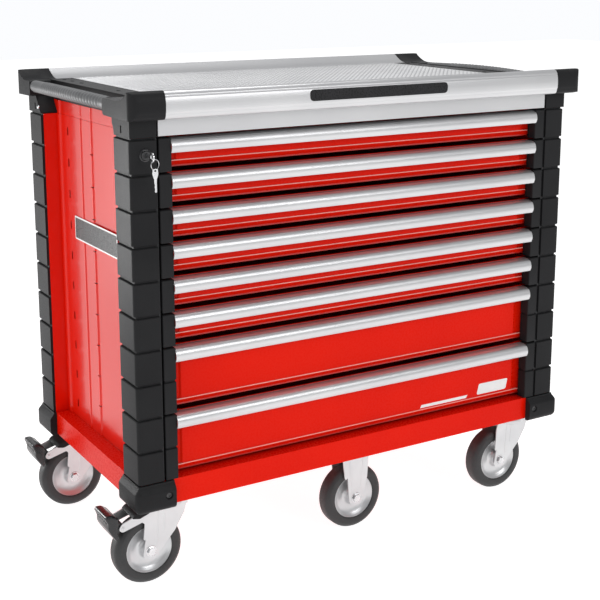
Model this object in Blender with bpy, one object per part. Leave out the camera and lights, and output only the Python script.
"""Rolling tool chest: a folded steel cabinet with eight drawers on telescopic slides,
a worktop edged in aluminium between two moulded ends with grip bars, and six casters.

Metres, +Z up. X runs along the width, -Y is the front, and the origin lies on the floor
under the middle of the whole chest. Its left side reaches further, because the brake pedals
stand out there, so the cabinet's own middle lies at X = middleX."""
import math

import bmesh
import bpy
from mathutils import Vector

# Cabinet
cabinetWidth = 1.092      # over the corner posts
cabinetDepth = 0.575
sheet = 0.0015
gap = 0.0003              # between pieces that touch
baseHeight = 0.053
drawerPitch = 0.070
drawerUnits = (1, 1, 1, 1, 1, 1, 2, 2)   # pitches taken by each drawer, from the top
wallRecess = 0.040        # side wall, inboard of the posts
ledgeFlange = 0.036

# Corner posts: plastic cladding over the steel columns, with a bumper at the foot
postWidth = 0.054
postDepth = 0.078
postFlank = 0.016
cladding = 0.006
columnSetback = 0.003     # column face, outboard of the cladding's inner edge
postChamfer = 0.008
grooveDepth = 0.003
grooveHalf = 0.002
bumperProud = 0.0105
bumperWidth = 0.077
bumperDepth = 0.083
bumperDrop = 0.004

# Worktop, with heights taken from the top of the cabinet
neckHeight = 0.036
edgeHeight = 0.056
lipHeight = 0.020         # edge, above the deck
deckThickness = 0.004
endRail = 0.096           # deck's end, inboard of the posts' outer face
topOverhang = 0.0395      # bullnose, forward of the posts
endOverhang = 0.014       # moulded ends, outboard of the posts
edgeInset = 0.0255        # cabinet front to the deck's edge
profileWall = 0.003
dishSteps = 5

# Grip bars and the hand openings, measured from the cabinet's front and back
gripRadius = 0.014
gripInset = 0.0005        # bar's axis at its ends, inboard of the posts' outer face
gripDrop = 0.033          # below the worktop's edge
gripBow = 0.012
gripRise = 0.004
handFrontInset = 0.0975
handRearInset = 0.0525

# Drawers
frontRecess = 0.0255      # red panel, behind the posts' front
frontClearance = 0.003
boxDepth = 0.425
boxFloorLift = 0.007
boxTopDrop = 0.009
boxWall = 0.0012
bandHeight = 0.010
bandSetback = 0.005
handleHeight = 0.030
handleWall = 0.0025
capWidth = 0.0265

# Telescopic slides
slideSpace = 0.0135       # between the column face and the drawer box
slideHalfHeight = 0.0225
middleHalfHeight = 0.019
runnerHalfHeight = 0.013
slideLength = 0.440
middleLength = 0.400
slideSetback = 0.010
ballRoom = 0.003          # between one slide member and the next

# Casters
wheelRadius = 0.075
hubHalfWidth = 0.0215
headHeight = 0.035        # from the top of the wheel to the underside of the base
headPlate = 0.004
trail = 0.042
casterInsetX = 0.081
casterInsetY = 0.0665
forkClearance = 0.003
forkPlate = 0.003
axleRadius = 0.006
axleClearance = 0.0005
crownRadius = 0.040
crownThickness = 0.012

# Lock
lockInset = 0.031
lockDrop = 0.032
plugRadius = 0.009
keyThickness = 0.002

halfWidth = cabinetWidth / 2
halfDepth = cabinetDepth / 2
casterHeight = 2 * wheelRadius + headHeight
baseTop = casterHeight + baseHeight
bodyTop = baseTop + sum(drawerUnits) * drawerPitch
steelX = halfWidth - cladding
steelY = halfDepth - cladding
wallX = halfWidth - wallRecess
openingHalf = halfWidth - postWidth - columnSetback
frontY = -halfDepth + frontRecess
boxHalf = openingHalf - slideSpace
profileBottom = bodyTop + neckHeight
topHeight = profileBottom + edgeHeight
deckHeight = topHeight - lipHeight
deckEdge = halfDepth - edgeInset
deckHalfWidth = halfWidth - endRail
handFront = -halfDepth + handFrontInset
handRear = halfDepth - handRearInset
casterX = halfWidth - casterInsetX
casterY = halfDepth - casterInsetY
crownTop = casterHeight - headPlate - 0.005 - gap
forkInner = hubHalfWidth + forkClearance
pedalPivot = (-trail - 0.8 * wheelRadius, crownTop - 0.0357)   # from the swivel axis and floor
pedalReach = 0.040        # beyond its pivot
leftReach = casterX - pedalPivot[0] + pedalReach
rightReach = halfWidth - gripInset + gripBow + gripRadius
middleX = (leftReach - rightReach) / 2

finishes = {
    "red": ((0.72, 0.025, 0.012, 1.0), 0.0, 0.32),
    "black": ((0.045, 0.047, 0.050, 1.0), 0.0, 0.55),
    "grey": ((0.20, 0.21, 0.22, 1.0), 0.0, 0.60),
    "aluminium": ((0.78, 0.79, 0.80, 1.0), 0.9, 0.35),
    "zinc": ((0.74, 0.75, 0.76, 1.0), 0.9, 0.30),
    "rubber": ((0.035, 0.036, 0.038, 1.0), 0.0, 0.75),
}


def meshOf(points, faces):
    """A closed mesh from points and faces, with its faces turned outwards."""
    bm = bmesh.new()
    verts = [bm.verts.new(p) for p in points]
    for face in faces:
        bm.faces.new([verts[i] for i in face])
    bmesh.ops.recalc_face_normals(bm, faces=bm.faces)
    mesh = bpy.data.meshes.new("piece")
    bm.to_mesh(mesh)
    bm.free()
    return mesh


def loft(rings, closed=False):
    """Joins rings of equal length. A closed loft runs back to its first ring; an open one
    is capped at both ends."""
    count = len(rings[0])
    points = [p for ring in rings for p in ring]
    spans = len(rings) if closed else len(rings) - 1
    faces = []
    for r in range(spans):
        a = r * count
        b = (r + 1) % len(rings) * count
        for i in range(count):
            j = (i + 1) % count
            faces.append((a + i, a + j, b + j, b + i))
    if not closed:
        faces.append(tuple(range(count))[::-1])
        faces.append(tuple(range(len(points) - count, len(points))))
    return meshOf(points, faces)


def prism(outline, axis, low, high):
    """Extrudes a flat outline along axis. The outline holds the other two axes in order."""
    others = [k for k in range(3) if k != axis]
    rings = []
    for level in (low, high):
        ring = []
        for p in outline:
            point = [level] * 3
            point[others[0]], point[others[1]] = p
            ring.append(point)
        rings.append(ring)
    return loft(rings)


def box(x0, x1, y0, y1, z0, z1):
    low, high = sorted((x0, x1))
    return prism([(y0, z0), (y1, z0), (y1, z1), (y0, z1)], 0, low, high)


def strip(path, thickness):
    """The outline of a folded sheet that follows path, with mitred corners."""
    sides = ([], [])
    last = len(path) - 1
    for i, p in enumerate(path):
        here = Vector(p)
        ahead = (Vector(path[min(i + 1, last)]) - here).normalized()
        behind = (here - Vector(path[max(i - 1, 0)])).normalized()
        ahead = ahead if i < last else behind
        behind = behind if i > 0 else ahead
        normal = Vector((-ahead.y - behind.y, ahead.x + behind.x)).normalized()
        reach = thickness / 2 / max(0.2, normal.dot(Vector((-ahead.y, ahead.x))))
        sides[0].append(tuple(here + normal * reach))
        sides[1].append(tuple(here - normal * reach))
    return sides[0] + sides[1][::-1]


def disc(radius, centre, axis, low, high, segments=20):
    """A round bar along axis; centre holds the other two axes in order."""
    turn = [2 * math.pi * i / segments for i in range(segments)]
    outline = [(centre[0] + radius * math.cos(a), centre[1] + radius * math.sin(a)) for a in turn]
    return prism(outline, axis, low, high)


def arc(centre, radius, start, end, steps):
    """Points along an arc between two angles in degrees."""
    angles = [math.radians(start + (end - start) * i / steps) for i in range(steps + 1)]
    return [(centre[0] + radius * math.cos(a), centre[1] + radius * math.sin(a)) for a in angles]


def combine(base, tools, operation="UNION"):
    """Joins or cuts closed meshes and returns the result as one mesh."""
    scene = bpy.context.scene.collection.objects
    target = bpy.data.objects.new("target", base)
    scene.link(target)
    helpers = []
    for mesh in tools:
        helper = bpy.data.objects.new("helper", mesh)
        scene.link(helper)
        helpers.append(helper)
        modifier = target.modifiers.new("combine", "BOOLEAN")
        modifier.operation = operation
        modifier.object = helper
    graph = bpy.context.evaluated_depsgraph_get()
    result = bpy.data.meshes.new_from_object(target.evaluated_get(graph))
    for helper in [target] + helpers:
        bpy.data.objects.remove(helper)
    return result


def node(name, mesh, finish, origin=(0.0, 0.0, 0.0), smooth=False):
    """Puts a mesh in the scene as a named piece. Both are given from the cabinet's middle."""
    bm = bmesh.new()
    bm.from_mesh(mesh)
    bmesh.ops.translate(bm, verts=bm.verts, vec=-Vector(origin))
    bmesh.ops.recalc_face_normals(bm, faces=bm.faces)
    bm.to_mesh(mesh)
    bm.free()
    if smooth:
        mesh.shade_smooth()
        mesh.set_sharp_from_angle(angle=math.radians(40))
    colour, metallic, roughness = finishes[finish]
    material = bpy.data.materials.new(name + "_finish")
    material.use_nodes = True
    shader = material.node_tree.nodes["Principled BSDF"]
    shader.inputs["Base Color"].default_value = colour
    shader.inputs["Metallic"].default_value = metallic
    shader.inputs["Roughness"].default_value = roughness
    mesh.materials.clear()
    mesh.materials.append(material)
    piece = bpy.data.objects.new(name, mesh)
    piece.location = Vector(origin) + Vector((middleX, 0.0, 0.0))
    bpy.context.scene.collection.objects.link(piece)
    return piece


def cellsOf():
    """Bottom and top of each drawer's cell, from the top drawer down."""
    cells = []
    top = bodyTop
    for units in drawerUnits:
        bottom = top - units * drawerPitch
        cells.append((bottom, top))
        top = bottom
    return cells


def slideLevel(bottom):
    """Height of a drawer's slides: the middle of the lowest pitch of its cell."""
    return bottom + drawerPitch / 2


def channel(side, outer, inner, webThickness, halfHeight, level, front, length):
    """A C-shaped slide member along Y, open towards the drawer."""
    lip = webThickness
    path = [
        (inner, level - halfHeight),
        (outer, level - halfHeight),
        (outer, level + halfHeight),
        (inner, level + halfHeight),
        (inner, level + halfHeight - lip),
        (outer - webThickness, level + halfHeight - lip),
        (outer - webThickness, level - halfHeight + lip),
        (inner, level - halfHeight + lip),
    ]
    return prism([(side * x, z) for x, z in path], 1, front, front + length)


def carcassPieces():
    """Folded columns, side walls and back in one strip, with the slide rails and uprights."""
    half = sheet / 2
    columnBack = halfDepth - postDepth + cladding + half
    inner = openingHalf + half
    outer = steelX - half
    front = steelY - half
    side = [
        (inner, -columnBack),
        (inner, -front),
        (outer, -front),
        (outer, -columnBack),
        (wallX, -columnBack),
        (wallX, columnBack),
        (outer, columnBack),
        (outer, front),
    ]
    path = [(-x, y) for x, y in side] + side[::-1]
    foot = baseTop + gap
    pieces = [prism(strip(path, sheet), 2, foot, bodyTop)]
    uprightY = frontY + slideSetback + slideLength - 0.030
    for side in (-1, 1):
        pieces.append(box(side * (openingHalf - sheet / 3), side * (wallX + sheet / 3),
                          uprightY, uprightY + 0.020, foot, bodyTop - sheet))
        for bottom, _ in cellsOf():
            pieces.append(channel(side, openingHalf + sheet / 2, boxHalf + 0.002, sheet,
                                  slideHalfHeight, slideLevel(bottom), frontY + slideSetback,
                                  slideLength))
    return pieces


def makeCarcass():
    pieces = carcassPieces()
    node("carcass", combine(pieces[0], pieces[1:]), "red")


def makeBase():
    """The tray under the cabinet, open at the top, with the plates that take the casters."""
    tray = box(-steelX, steelX, -steelY, steelY, casterHeight, baseTop)
    floor = 2 * sheet
    inside = box(-steelX + sheet, steelX - sheet, -steelY + sheet, steelY - sheet,
                 casterHeight + floor, baseTop - sheet)
    mouth = box(-steelX + ledgeFlange, steelX - ledgeFlange, -steelY + ledgeFlange,
                steelY - ledgeFlange, baseTop - 2 * sheet, baseTop + sheet)
    tray = combine(tray, [inside, mouth], "DIFFERENCE")
    pieces = []
    for x in (-casterX, casterX):
        for y in (-casterY, casterY):
            pieces.append(box(x - 0.050, x + 0.050, y - 0.0425, y + 0.0425,
                              casterHeight - headPlate, casterHeight + sheet))
            pieces.append(disc(crownRadius - 0.005, (x, y), 2, crownTop + gap,
                               casterHeight - headPlate / 2))
    node("base", combine(tray, pieces), "red")


def postRing(sideX, sideY, z, inset, foot):
    """One level of a corner post. inset draws its outer faces in, and foot gives the
    outline of the bumper, which has no flank and reaches further along the base."""
    proud = bumperProud if foot else 0.0
    x = halfWidth + proud - inset
    y = halfDepth + proud - inset
    chamfer = postChamfer + proud * 0.4
    innerX = steelX + gap
    innerY = steelY + gap
    reachX = halfWidth - (bumperWidth if foot else postWidth)
    reachY = halfDepth - (bumperDepth if foot else postDepth)
    flank = innerX if foot else halfWidth - postFlank
    lip = 0.004 if foot else cladding - gap
    ring = [
        (reachX, y),
        (x - chamfer, y),
        (x, y - chamfer),
        (x, reachY),
        (flank, reachY),
        (flank, reachY + lip),
        (innerX, reachY + lip),
        (innerX, innerY),
        (reachX, innerY),
    ]
    return [(sideX * px, sideY * py, z) for px, py in ring]


def makePost(name, sideX, sideY):
    footLevels = (
        (casterHeight - bumperDrop, 0.005),
        (casterHeight + 0.004, 0.0),
        (baseTop - 0.012, 0.0),
        (baseTop + gap, bumperProud - 0.001),
    )
    rings = [postRing(sideX, sideY, z, inset, True) for z, inset in footLevels]
    rings.append(postRing(sideX, sideY, baseTop + 2 * gap, 0.0, False))
    for k in range(1, sum(drawerUnits)):
        level = baseTop + k * drawerPitch
        for offset, inset in ((-grooveHalf, 0.0), (0.0, grooveDepth), (grooveHalf, 0.0)):
            rings.append(postRing(sideX, sideY, level + offset, inset, False))
    rings.append(postRing(sideX, sideY, bodyTop, 0.0, False))
    node(name, loft(rings), "black")


def bullnose():
    """The worktop's front edge in section, from under the lip round to the deck, as (y, z)."""
    front = -halfDepth - topOverhang
    face = [
        (front + 0.014, profileBottom),
        (front + 0.005, profileBottom + 0.003),
        (front + 0.001, profileBottom + 0.012),
        (front, profileBottom + 0.028),
        (front + 0.002, topHeight - 0.012),
        (front + 0.007, topHeight - 0.003),
        (front + 0.014, topHeight),
    ]
    run = -deckEdge - gap - (front + 0.014)
    dish = []
    for i in range(1, dishSteps + 1):
        t = i / dishSteps
        dish.append((front + 0.014 + run * t, topHeight - lipHeight * math.sin(t * math.pi / 2)))
    return face, dish


def makeWorktop():
    face, dish = bullnose()
    length = openingHalf - 0.002
    inward = strip([(y + profileWall / 2, z) for y, z in face[:4]]
                   + [(y + profileWall / 3, z - profileWall / 3) for y, z in face[4:6]]
                   + [(y, z - profileWall / 2) for y, z in face[6:] + dish], profileWall)
    for name, sign in (("front_profile", 1), ("rear_profile", -1)):
        section = [(sign * y, z) for y, z in inward]
        node(name, prism(section, 0, -length, length), "aluminium", smooth=True)

    # The deck plate stands on a frame that is open below
    frameTop = deckHeight - deckThickness - gap
    halfX = openingHalf - 0.0025
    halfY = halfDepth - 0.001
    railBottom = bodyTop + 0.002
    shell = box(-halfX, halfX, -halfY, halfY, railBottom, frameTop)
    hollow = box(-halfX + 2 * sheet, halfX - 2 * sheet, -halfY + 2 * sheet, halfY - 2 * sheet,
                 railBottom - sheet, frameTop - sheet)
    shell = combine(shell, [hollow], "DIFFERENCE")
    plate = box(-deckHalfWidth, deckHalfWidth, -deckEdge + gap, deckEdge - gap,
                frameTop - sheet / 2, deckHeight)
    node("deck", combine(shell, [plate]), "aluminium")


def endBlock(sideX, sideY, handEnd):
    """A corner of the worktop: the edge section carried round the corner, and its neck."""
    face, dish = bullnose()
    back = -abs(handEnd)
    flat = deckHeight - 0.0004
    outline = face + dish[:-1] + [
        (dish[-1][0] + gap, flat),
        (back - 0.008, flat),
        (back, flat - 0.007),
        (back, profileBottom + 0.010),
        (back - 0.007, profileBottom + 0.001),
    ]
    outer = halfWidth + endOverhang
    front = face[3][0]
    stations = ((openingHalf - 0.0015, 0.0), (outer - 0.020, 0.0), (outer - 0.009, 0.0025),
                (outer - 0.0025, 0.0085), (outer, 0.018))
    rings = []
    for x, inset in stations:
        ring = [(sideX * x, -sideY * max(y, front + inset), z) for y, z in outline]
        rings.append(ring)
    block = loft(rings)

    neckBack = -(halfDepth - postDepth)
    sweep = arc((neckBack + 0.032, profileBottom - 0.034), 0.032, 180, 115, 4)
    neck = [(-halfDepth + gap, bodyTop + 3 * gap), (neckBack, bodyTop + 3 * gap)]
    neck += [(y, z) for y, z in sweep if y < back - 0.009]
    neck += [(back - 0.010, profileBottom + 0.012), (-halfDepth + gap, profileBottom + 0.012)]
    neckMesh = prism([(-sideY * y, z) for y, z in neck], 0,
                     *sorted((sideX * (openingHalf + 0.0015), sideX * (halfWidth - gap))))
    return [block, neckMesh]


def makeEnds():
    for name, side in (("end_left", -1), ("end_right", 1)):
        rail = box(side * (deckHalfWidth + gap), side * (wallX + 0.002), -deckEdge + 2 * gap,
                   deckEdge - 2 * gap, deckHeight - deckThickness, deckHeight)
        inner = box(side * (wallX - 0.003), side * (wallX + 0.0015), handFront - 0.015,
                    handRear + 0.015, bodyTop + 3 * gap, deckHeight - deckThickness / 2)
        pieces = [rail, inner] + endBlock(side, -1, handFront) + endBlock(side, 1, handRear)
        node(name, combine(pieces[0], pieces[1:]), "black")


def makeGrips():
    stations = 10
    sides = 12
    for name, side in (("grip_left", -1), ("grip_right", 1)):
        rings = []
        for i in range(stations + 1):
            t = i / stations
            bulge = math.sin(math.pi * t)
            x = side * (halfWidth - gripInset + gripBow * bulge)
            y = handFront + gap + (handRear - handFront - 2 * gap) * t
            z = topHeight - gripDrop + gripRise * bulge
            turn = [2 * math.pi * k / sides for k in range(sides)]
            rings.append([(x + gripRadius * math.cos(a), y, z + gripRadius * math.sin(a)) for a in turn])
        node(name, loft(rings), "grey", smooth=True)


def makeLock():
    x = -halfWidth + lockInset
    z = bodyTop - lockDrop
    half = keyThickness / 2
    face = -halfDepth - gap
    plug = disc(plugRadius, (x, z), 1, face - 0.010, face)
    blade = box(x - half, x + half, face - 0.022, face - 0.009, z - 0.004, z + 0.004)
    bow = disc(plugRadius + 0.002, (face - 0.031, z), 0, x - half, x + half, 12)
    node("lock", combine(plug, [blade, bow]), "black", (x, face, z))


def makeDrawer(number, bottom, top):
    """One drawer: its folded box with the red front, the pull and the two slide members."""
    faceHalf = openingHalf - frontClearance
    low = bottom + bandHeight
    high = top - 0.002
    rear = frontY + boxDepth
    floor = bottom + boxFloorLift
    outside = box(-boxHalf, boxHalf, frontY + bandSetback, rear, floor, top - boxTopDrop)
    inside = box(-boxHalf + boxWall, boxHalf - boxWall, frontY + bandSetback + boxWall,
                 rear - boxWall, floor + boxWall, top)
    shell = combine(outside, [inside], "DIFFERENCE")
    panel = prism(strip([
        (frontY + bandSetback + sheet / 2, low),
        (frontY + sheet / 2, low + bandHeight),
        (frontY + sheet / 2, high),
    ], sheet), 0, -faceHalf, faceHalf)
    pieces = [shell, panel]
    level = slideLevel(bottom)
    middleX = openingHalf - ballRoom
    for side in (-1, 1):
        pieces.append(box(side * (boxHalf - boxWall / 2), side * (middleX - sheet - ballRoom),
                          frontY + slideSetback, frontY + slideSetback + middleLength,
                          level - runnerHalfHeight, level + runnerHalfHeight))
    node(f"drawer_{number}", combine(pieces[0], pieces[1:]), "red", (0.0, frontY, level))

    capInner = faceHalf - capWidth
    nose = -halfDepth - 0.005
    crest = top - 0.003
    section = [
        (frontY - gap, crest - handleWall),
        (frontY - gap, crest),
        (nose + 0.012, crest),
        (nose + 0.005, crest - 0.004),
        (nose + 0.001, crest - 0.011),
        (nose, crest - 0.020),
        (nose + 0.003, crest - handleHeight + 0.003),
        (nose + 0.005, crest - handleHeight + 0.004),
        (nose + handleWall, crest - 0.020),
        (nose + 0.001 + handleWall, crest - 0.012),
        (nose + 0.005 + handleWall, crest - 0.006),
        (nose + 0.012 + handleWall, crest - handleWall),
    ]
    parts = [prism(section, 0, -capInner - 0.001, capInner + 0.001)]
    for side in (-1, 1):
        parts.append(box(side * capInner, side * faceHalf, -halfDepth, frontY - gap,
                         bottom + grooveHalf, top - grooveHalf))
    node(f"handle_{number}", combine(parts[0], parts[1:]), "aluminium", (0.0, frontY, level))

    front = frontY + slideSetback + ballRoom
    for side, word in ((-1, "left"), (1, "right")):
        member = channel(side, middleX, boxHalf + 0.0035, sheet,
                         middleHalfHeight, level, front, middleLength)
        node(f"slide_{word}_{number}", member, "zinc", (side * openingHalf, front, level))


def lathe(profile, centre, segments):
    """Turns a closed profile of (radius, y) about an axis along Y through centre."""
    rings = []
    for i in range(segments):
        a = 2 * math.pi * i / segments
        rings.append([(centre[0] + r * math.cos(a), centre[1] + y, centre[2] + r * math.sin(a))
                      for r, y in profile])
    return loft(rings, closed=True)


def makeWheel(name, x, y):
    half = [
        (axleRadius + axleClearance, hubHalfWidth),
        (0.017, hubHalfWidth),
        (0.024, 0.008),
        (0.044, 0.012),
        (wheelRadius - 0.009, hubHalfWidth - 0.0015),
        (wheelRadius, hubHalfWidth - 0.0085),
    ]
    profile = half + [(r, -w) for r, w in half[::-1]]
    centre = (x, y, wheelRadius)
    node(name, lathe(profile, centre, 20), "rubber", centre, smooth=True)


def axleEnd(x):
    """Lower end of a fork plate, round the axle."""
    return arc((x, wheelRadius), 0.019, 200, 340, 5)


def forkPlates(outline, x, y):
    plates = []
    for side in (-1, 1):
        near, far = sorted((side * forkInner, side * (forkInner + forkPlate)))
        plates.append(prism([(x + px, pz) for px, pz in outline], 1, y + near, y + far))
    return plates


def makeAxle(x, y):
    reach = forkInner + forkPlate
    pieces = [disc(axleRadius, (x, wheelRadius), 1, y - reach - 0.001, y + reach + 0.001, 12)]
    for side in (-1, 1):
        near, far = sorted((side * (reach - 0.001), side * (reach + 0.006)))
        pieces.append(disc(0.010, (x, wheelRadius), 1, y + near, y + far, 6))
    return pieces


def makeSwivelCaster(word, sideX, sideY, braked):
    """A fork that turns about its king pin, its wheel behind it and, with a brake, an arm
    for the pedal."""
    x, y = sideX * casterX, sideY * casterY
    outline = [(0.045, crownTop - 0.002), (-0.050, crownTop - 0.002)]
    if braked:
        px, pz = pedalPivot
        outline += [(px + 0.022, pz + 0.018), (px - 0.002, pz + 0.008)]
        outline += arc(pedalPivot, 0.008, 120, 250, 4)
        outline += [(px + 0.042, pz + 0.003), (px + 0.046, pz - 0.001)]
    else:
        outline += [(-trail - 0.014, crownTop - 0.0257)]
    outline += [(-trail - 0.016, wheelRadius + 0.025)] + axleEnd(-trail)
    outline += [(0.012, wheelRadius + 0.033), (0.036, crownTop - 0.0277)]
    plates = forkPlates(outline, x, y)
    bridge = box(x - 0.034, x + 0.044, y - forkInner - 0.001, y + forkInner + 0.001,
                 crownTop - crownThickness - 0.002, crownTop - 0.003)
    crown = disc(crownRadius, (x, y), 2, crownTop - crownThickness, crownTop)
    pieces = plates + [bridge, crown] + makeAxle(x - trail, y)
    node(f"fork_{word}", combine(pieces[0], pieces[1:]), "zinc", (x, y, crownTop))
    makeWheel(f"wheel_{word}", x - trail, y)
    if braked:
        makePedal(f"brake_{word}", x, y)


def makePedal(name, x, y):
    px, pz = pedalPivot
    root = [(px + 0.006, pz + 0.002), (px + 0.001, pz + 0.008), (px - 0.012, pz + 0.014),
            (px - 0.020, pz + 0.006), (px - 0.020, pz - 0.012), (px - 0.008, pz - 0.010)]
    tread = [(px - 0.0105, pz + 0.026), (px - 0.026, pz + 0.0355), (px - pedalReach, pz + 0.033),
             (px - pedalReach, pz + 0.020), (px - 0.028, pz - 0.004), (px - 0.018, pz - 0.022),
             (px - 0.0105, pz - 0.024)]
    tongue = prism([(x + a, b) for a, b in root], 1, y - forkInner + 0.0007, y + forkInner - 0.0007)
    plate = prism([(x + a, b) for a, b in tread], 1, y - 0.033, y + 0.033)
    node(name, combine(tongue, [plate]), "black", (x + px, y, pz))


def makeFixedCaster(word, sideY):
    y = sideY * casterY
    top = casterHeight - gap
    shoulder = wheelRadius + 0.045
    outline = [(0.036, top - 0.002), (-0.036, top - 0.002), (-0.030, shoulder)]
    outline += axleEnd(0.0) + [(0.030, shoulder)]
    plate = box(-0.050, 0.050, y - 0.0425, y + 0.0425, top - headPlate, top)
    pieces = [plate] + forkPlates(outline, 0.0, y) + makeAxle(0.0, y)
    node(f"fork_{word}", combine(pieces[0], pieces[1:]), "zinc")
    makeWheel(f"wheel_{word}", 0.0, y)


def main():
    for old in list(bpy.data.objects):
        bpy.data.objects.remove(old)
    makeCarcass()
    makeBase()
    for vertical, sideY in (("front", -1), ("rear", 1)):
        for horizontal, sideX in (("left", -1), ("right", 1)):
            makePost(f"post_{vertical}_{horizontal}", sideX, sideY)
            makeSwivelCaster(f"{vertical}_{horizontal}", sideX, sideY, horizontal == "left")
        makeFixedCaster(f"{vertical}_middle", sideY)
    makeWorktop()
    makeEnds()
    makeGrips()
    makeLock()
    for number, (bottom, top) in enumerate(cellsOf(), 1):
        makeDrawer(number, bottom, top)


main()
